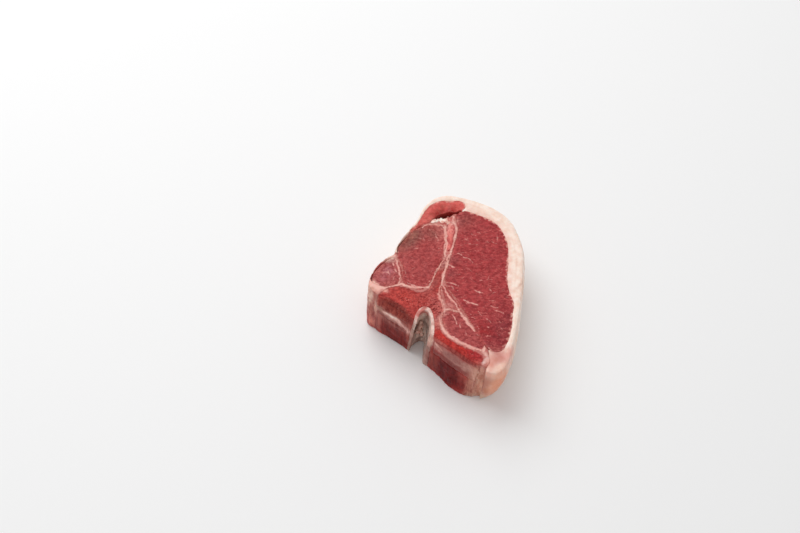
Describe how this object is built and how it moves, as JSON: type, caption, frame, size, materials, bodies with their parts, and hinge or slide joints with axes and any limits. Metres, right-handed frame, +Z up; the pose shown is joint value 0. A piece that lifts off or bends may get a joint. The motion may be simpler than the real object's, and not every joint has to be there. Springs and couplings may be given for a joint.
{
  "type": "raw lamb loin chop",
  "caption": "Raw lamb chop cut across the loin: a T-shaped sawn bone with the eye muscle and fillet beside it, white seams between the muscles and a cream rim of fat.",
  "frame": {"origin": "middle of the chop's bounding box on the surface it lies on", "axes": "+Z up out of the upper cut face; +X along the sawn backbone from the fillet side to the back-fat side; +Y from the sawn face towards the flank"},
  "size_m": [0.0808, 0.0782, 0.028],
  "materials": {
    "lean": "moist raw lean with fine fat marbling",
    "pale_lean": "moist thin sheet muscle, paler and more orange",
    "corner_lean": "dried, browned lean at the sawn corner",
    "bone": "sawn red marrow bone, fine pores",
    "canal_lining": "moist grey-white bone wall of the spinal canal",
    "cartilage": "grey-pink disc of cartilage",
    "ligament": "grey-pink band of ligament",
    "connective": "white-pink seams between the muscles",
    "fat": "firm cream fat with a soft sheen"
  },
  "bodies": {
    "root": {"eye_muscle": "lean", "fillet_muscle": "lean", "side_muscle": "lean", "back_muscle": "lean", "wedge_muscle": "lean", "flank_muscle": "pale_lean", "stem_muscle": "pale_lean", "corner_lean": "corner_lean", "t_bone": "bone", "canal_lining": "canal_lining", "disc": "cartilage", "spine_ligament": "ligament", "connective_web": "connective", "fat_cap": "fat"}
  },
  "joints": []
}
